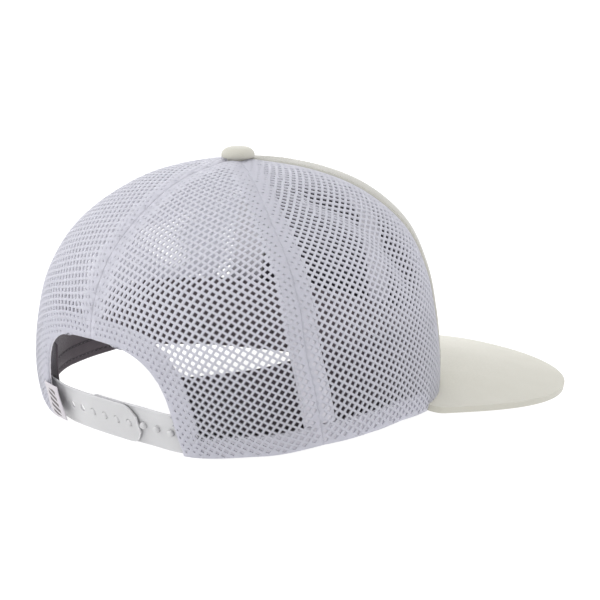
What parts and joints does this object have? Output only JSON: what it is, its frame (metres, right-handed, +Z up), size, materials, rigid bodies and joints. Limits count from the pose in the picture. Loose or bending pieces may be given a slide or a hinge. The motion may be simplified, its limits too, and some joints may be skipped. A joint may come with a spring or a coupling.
{
  "type": "trucker cap",
  "caption": "Trucker cap with a structured off-white front and peak, white net sides and back, a grey sweatband and a fastened snap strap under a half-moon opening.",
  "frame": {"origin": "on the plane that the cap rests on, under the middle of its width and length", "axes": "+Z up; -Y the way the peak points; +X the wearer's left"},
  "size_m": [0.198, 0.2416, 0.1209],
  "materials": {
    "off_white_cloth": "matte woven cotton blend",
    "net_knit": "matte open polyester knit",
    "tape_cloth": "matte twill tape",
    "lining_cloth": "matte fused lining",
    "sweatband_cloth": "matte brushed band",
    "strap_plastic": "satin translucent plastic",
    "label_cloth": "matte woven"
  },
  "bodies": {
    "root": {"front_panel_left": "off_white_cloth", "front_panel_right": "off_white_cloth", "peak": "off_white_cloth", "button": "off_white_cloth", "side_net_left": "net_knit", "side_net_right": "net_knit", "back_net_left": "net_knit", "back_net_right": "net_knit", "hem_left": "tape_cloth", "hem_right": "tape_cloth", "opening_binding": "tape_cloth", "tape_back": "tape_cloth", "tape_side_left": "tape_cloth", "tape_side_right": "tape_cloth", "tape_front_left": "tape_cloth", "tape_front_right": "tape_cloth", "tape_front_center": "tape_cloth", "front_lining": "lining_cloth", "sweatband": "sweatband_cloth", "strap_left": "strap_plastic", "strap_right": "strap_plastic", "side_label": "label_cloth"}
  },
  "joints": []
}
